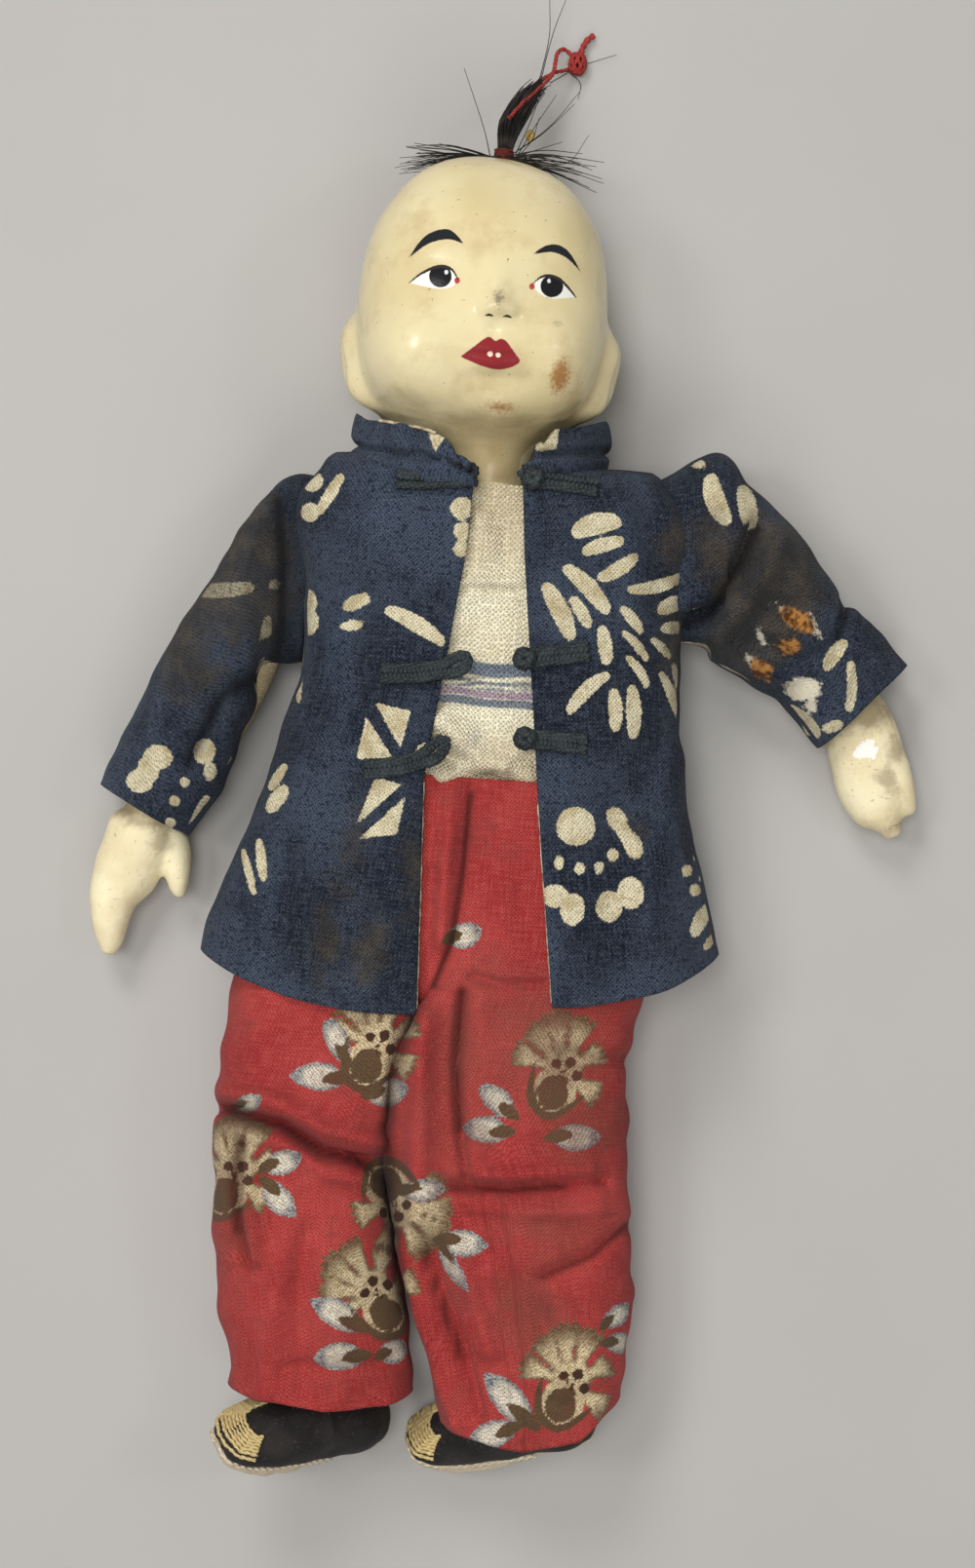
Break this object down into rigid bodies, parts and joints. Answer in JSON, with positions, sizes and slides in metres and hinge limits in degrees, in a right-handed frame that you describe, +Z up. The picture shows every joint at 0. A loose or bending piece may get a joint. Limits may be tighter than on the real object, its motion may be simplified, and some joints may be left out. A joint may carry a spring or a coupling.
{
  "type": "costume doll",
  "caption": "Jointed costume doll lying on its back, with a moulded head and hands on a stuffed cloth body, an open jacket with cord closures, printed trousers and cloth shoes.",
  "frame": {"origin": "on the flat patch under the jacket's back, at waist height on the doll's midline", "axes": "+Z up out of the doll's front as it lies on its back, +Y from feet to crown, +X to the doll's left hand"},
  "size_m": [0.1766, 0.3151, 0.0559],
  "materials": {
    "composition": "painted, semi-gloss",
    "muslin": "matte open weave",
    "indigo_cloth": "matte cotton with resist-dyed pattern",
    "red_cloth": "matte printed cotton",
    "black_satin": "satin weave",
    "sole_cloth": "stitched layers of cloth",
    "gold_braid": "gilt thread",
    "cord_cloth": "braided cord",
    "black_hair": "hair",
    "red_thread": "twisted thread"
  },
  "bodies": {
    "trunk": {"torso": "muslin", "neck_tie": "red_thread", "undershirt": "muslin", "trouser_seat": "red_cloth", "jacket_back": "indigo_cloth", "jacket_front_right": "indigo_cloth", "jacket_front_left": "indigo_cloth", "collar": "indigo_cloth", "frog_loop_top": "cord_cloth", "frog_knot_top": "cord_cloth", "frog_loop_middle": "cord_cloth", "frog_knot_middle": "cord_cloth", "frog_loop_bottom": "cord_cloth", "frog_knot_bottom": "cord_cloth"},
    "head": {"head": "composition", "hair_queue": "black_hair", "queue_binding": "red_thread", "side_hair_right": "black_hair", "side_hair_left": "black_hair", "queue_cord": "red_thread", "queue_cord_return": "red_thread", "queue_knot": "red_thread"},
    "right_arm": {"sleeve_right": "indigo_cloth", "arm_right": "muslin", "hand_right": "composition", "wrist_tie_right": "red_thread"},
    "left_arm": {"sleeve_left": "indigo_cloth", "arm_left": "muslin", "hand_left": "composition", "wrist_tie_left": "red_thread"},
    "right_leg": {"trouser_leg_right": "red_cloth", "leg_right": "muslin", "shoe_upper_right": "black_satin", "shoe_sole_right": "sole_cloth", "toe_braid_right": "gold_braid"},
    "left_leg": {"trouser_leg_left": "red_cloth", "leg_left": "muslin", "shoe_upper_left": "black_satin", "shoe_sole_left": "sole_cloth", "toe_braid_left": "gold_braid"}
  },
  "joints": [
    {"name": "head_turn", "type": "hinge", "parent": "trunk", "child": "head", "pos_m": [-0.002, 0.06, 0.023], "axis": [0, 1, 0], "range_deg": [-35, 35]},
    {"name": "right_arm_swing", "type": "hinge", "parent": "trunk", "child": "right_arm", "pos_m": [-0.0388, 0.047, 0.018], "axis": [-1, 0, 0], "range_deg": [-20, 120]},
    {"name": "left_arm_swing", "type": "hinge", "parent": "trunk", "child": "left_arm", "pos_m": [0.0438, 0.047, 0.018], "axis": [-1, 0, 0], "range_deg": [-20, 120]},
    {"name": "right_leg_swing", "type": "hinge", "parent": "trunk", "child": "right_leg", "pos_m": [-0.026, -0.07, 0.038], "axis": [-1, 0, 0], "range_deg": [0, 90]},
    {"name": "left_leg_swing", "type": "hinge", "parent": "trunk", "child": "left_leg", "pos_m": [0.019, -0.07, 0.038], "axis": [-1, 0, 0], "range_deg": [0, 90]}
  ]
}
